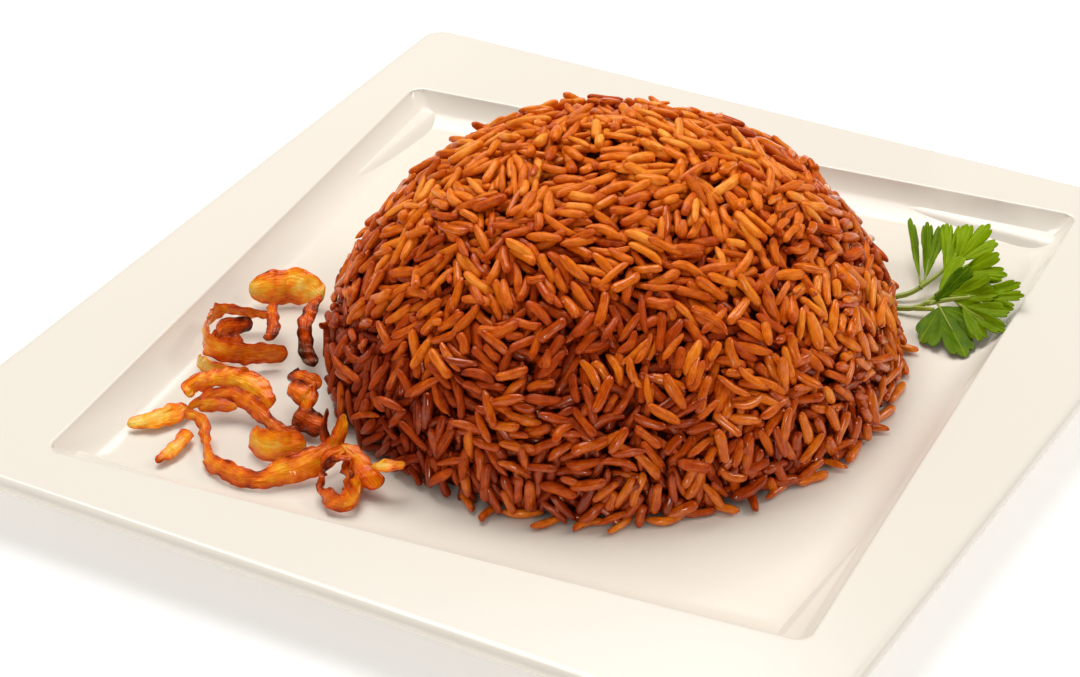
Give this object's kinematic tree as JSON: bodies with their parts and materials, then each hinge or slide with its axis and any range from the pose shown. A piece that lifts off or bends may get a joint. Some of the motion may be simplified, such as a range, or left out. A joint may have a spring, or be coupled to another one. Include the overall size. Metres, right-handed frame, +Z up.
{
  "type": "plate of sayadieh",
  "caption": "Plate of sayadieh: a moulded dome of brown-orange rice with fried onion strips and a parsley sprig on a square white plate with a sunken square well.",
  "frame": {"origin": "middle of the square plate's outline, on the surface under its foot", "axes": "+Z up, +X and +Y along the plate's straight outer edges; the fried onions lie at the rice's -X, -Y side and the parsley at its +X, +Y side"},
  "size_m": [0.25, 0.25, 0.0734],
  "materials": {
    "porcelain": "glossy warm white glaze",
    "rice": "moist cooked rice, brown-orange with darker gaps",
    "parsley": "fresh green leaf",
    "onion_straw": "oily, lightly fried, pale golden",
    "onion_amber": "oily, fried amber",
    "onion_orange": "oily, fried orange-brown",
    "onion_rust": "oily, fried red-brown",
    "onion_burnt": "oily, fried nearly black"
  },
  "bodies": {
    "root": {"plate": "porcelain", "rice_dome": "rice", "parsley_sprig": "parsley", "onion_chip_back": "onion_straw", "onion_ring_upper": "onion_orange", "onion_ribbon_pale": "onion_straw", "onion_strip_across": "onion_rust", "onion_hook_dark": "onion_burnt", "onion_bundle": "onion_rust", "onion_curl_broad": "onion_orange", "onion_tail_yellow": "onion_straw", "onion_tail_tipped": "onion_straw", "onion_loop_front": "onion_amber", "onion_band_front": "onion_amber", "onion_knot": "onion_rust", "onion_strip_yellow": "onion_straw", "onion_strip_dark": "onion_burnt"}
  },
  "joints": []
}
